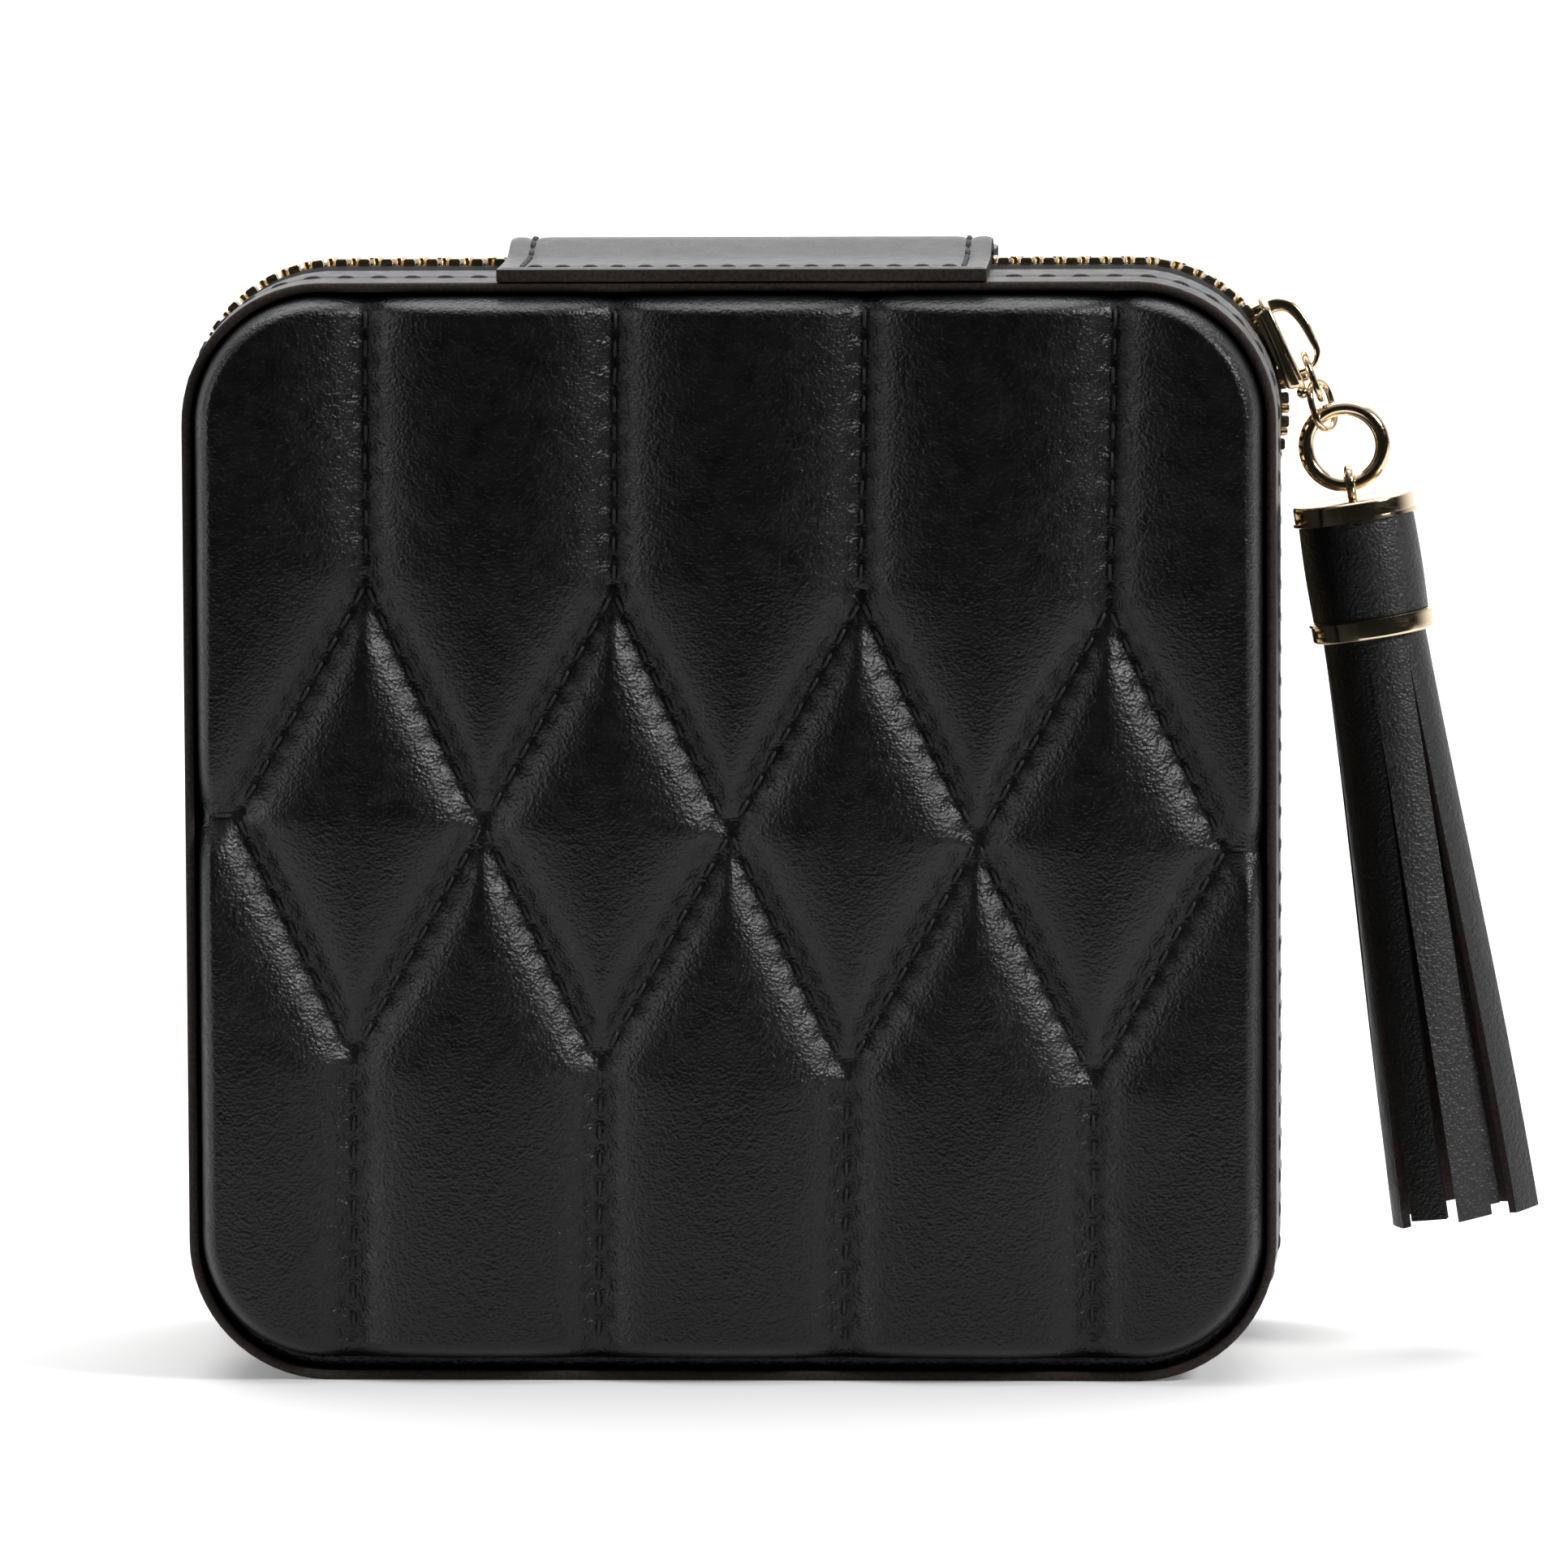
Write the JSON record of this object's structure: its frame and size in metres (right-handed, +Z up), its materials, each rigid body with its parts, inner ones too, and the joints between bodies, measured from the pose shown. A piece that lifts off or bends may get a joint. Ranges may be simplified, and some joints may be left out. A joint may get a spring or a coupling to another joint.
{
  "type": "leather jewellery case",
  "caption": "Square zip-around leather jewellery case with a quilted lid, a leather hinge, a mirror, ring rolls and compartments inside, and a tassel on the zip slider.",
  "frame": {"origin": "middle of the base's flat standing edge, the edge that the case stands on when closed upright", "axes": "+X to the right seen from the quilted lid, +Y from the lid to the base's back, +Z up towards the hinge"},
  "size_m": [0.1605, 0.0575, 0.1333],
  "materials": {
    "case_leather": "black smooth-grain leather with a soft sheen",
    "tassel_leather": "black leather with brown suede cut edges",
    "zip_metal": "polished light gold",
    "zip_tape": "black woven tape",
    "lining": "charcoal velvet",
    "stiffener": "grey-brown fibreboard",
    "padding": "cream foam",
    "mirror_glass": "silvered mirror"
  },
  "bodies": {
    "base": {"back_cover": "case_leather", "back_board": "stiffener", "base_wall_leather": "case_leather", "base_wall_board": "stiffener", "base_zip_tape": "zip_tape", "base_zip_teeth": "zip_metal", "zip_bottom_stop": "zip_metal", "zip_top_stop": "zip_metal", "base_lining": "lining", "hinge_leaf_base": "case_leather", "ring_roll_1": "lining", "ring_roll_2": "lining", "ring_roll_3": "lining", "ring_roll_4": "lining", "ring_roll_5": "lining", "cross_divider": "lining", "lower_divider": "lining", "upper_divider": "lining"},
    "lid": {"quilted_cover": "case_leather", "lid_foam": "padding", "lid_board": "stiffener", "lid_wall_leather": "case_leather", "lid_wall_board": "stiffener", "lid_zip_tape": "zip_tape", "lid_zip_teeth": "zip_metal", "lid_zip_teeth_end": "zip_metal", "lid_lining": "lining", "mirror": "mirror_glass", "mirror_frame": "case_leather", "lid_pocket": "lining", "hinge_leaf_lid": "case_leather"},
    "slider": {"zip_slider": "zip_metal"},
    "upper_link": {"link_1": "zip_metal"},
    "lower_link": {"link_2": "zip_metal"},
    "ring": {"tassel_ring": "zip_metal"},
    "tassel": {"cap_top_band": "zip_metal", "cap_sleeve": "tassel_leather", "cap_lower_band": "zip_metal", "tassel_fringe": "tassel_leather"}
  },
  "joints": [
    {"name": "lid_hinge", "type": "hinge", "parent": "base", "child": "lid", "pos_m": [0.0017, -0.0175, 0.13335], "axis": [-1, 0, 0], "range_deg": [0, 110]},
    {"name": "zip_slider_run", "type": "hinge", "parent": "base", "child": "slider", "pos_m": [0.0475, -0.0175, 0.1129], "axis": [0, 1, 0], "range_deg": [0, 24.2]},
    {"name": "upper_link_swing", "type": "hinge", "parent": "slider", "child": "upper_link", "pos_m": [0.06783, -0.0175, 0.1178], "axis": [0, 1, 0], "range_deg": [-24.2, 0]},
    {"name": "lower_link_swing", "type": "hinge", "parent": "upper_link", "child": "lower_link", "pos_m": [0.06895, -0.0175, 0.1149], "axis": [1, 0, 0], "range_deg": [-12, 12]},
    {"name": "ring_swing", "type": "hinge", "parent": "lower_link", "child": "ring", "pos_m": [0.06975, -0.0175, 0.1122], "axis": [1, 0, 0], "range_deg": [-12, 12]},
    {"name": "tassel_swing", "type": "hinge", "parent": "ring", "child": "tassel", "pos_m": [0.0721, -0.0175, 0.1083], "axis": [0, -1, 0], "range_deg": [0, 70]}
  ],
  "couplings": [
    {"joint": "upper_link_swing", "follows": "zip_slider_run", "ratio": -1}
  ]
}
